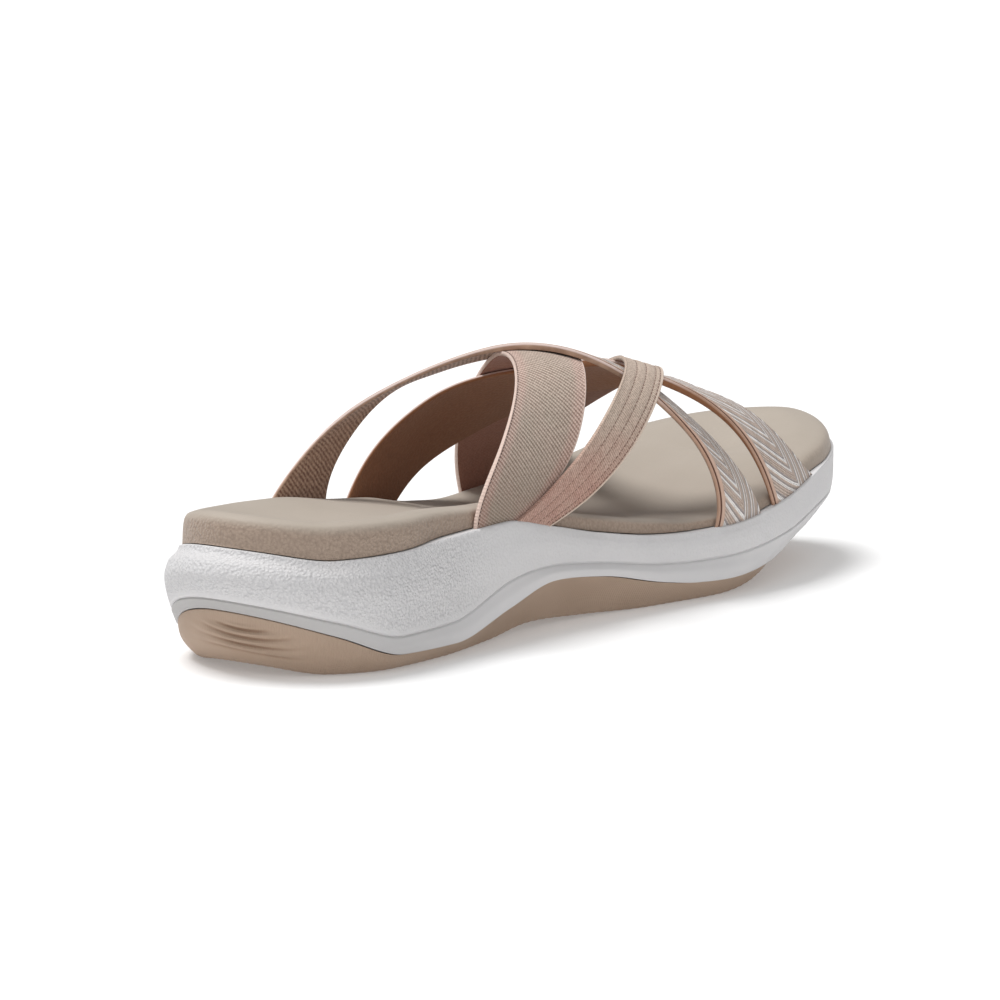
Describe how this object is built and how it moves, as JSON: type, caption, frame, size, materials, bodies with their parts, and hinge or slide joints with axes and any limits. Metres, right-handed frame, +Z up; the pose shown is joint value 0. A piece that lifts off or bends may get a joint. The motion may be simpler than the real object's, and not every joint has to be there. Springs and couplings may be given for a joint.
{
  "type": "orthopedic sandal",
  "caption": "Left slip-on sandal with crossing straps over a contoured footbed, a foam wedge midsole with arch and toe spring, and a rubber outsole that wraps up the heel.",
  "frame": {"origin": "middle of the bounding box, on the floor under the sole", "axes": "+X towards the toe, -Y is the medial side of the foot, +Z up"},
  "size_m": [0.261, 0.0896, 0.0729],
  "materials": {
    "outsole": "matte tan rubber with fine ribs",
    "midsole": "off-white foam with a pebble grain",
    "footbed": "taupe matte cover, smooth on top and pebbled on its wall",
    "upper": "woven and stitched strap textile in rose taupe"
  },
  "bodies": {
    "root": {"outsole": "outsole", "midsole": "midsole", "footbed": "footbed", "upper": "upper"}
  },
  "joints": []
}
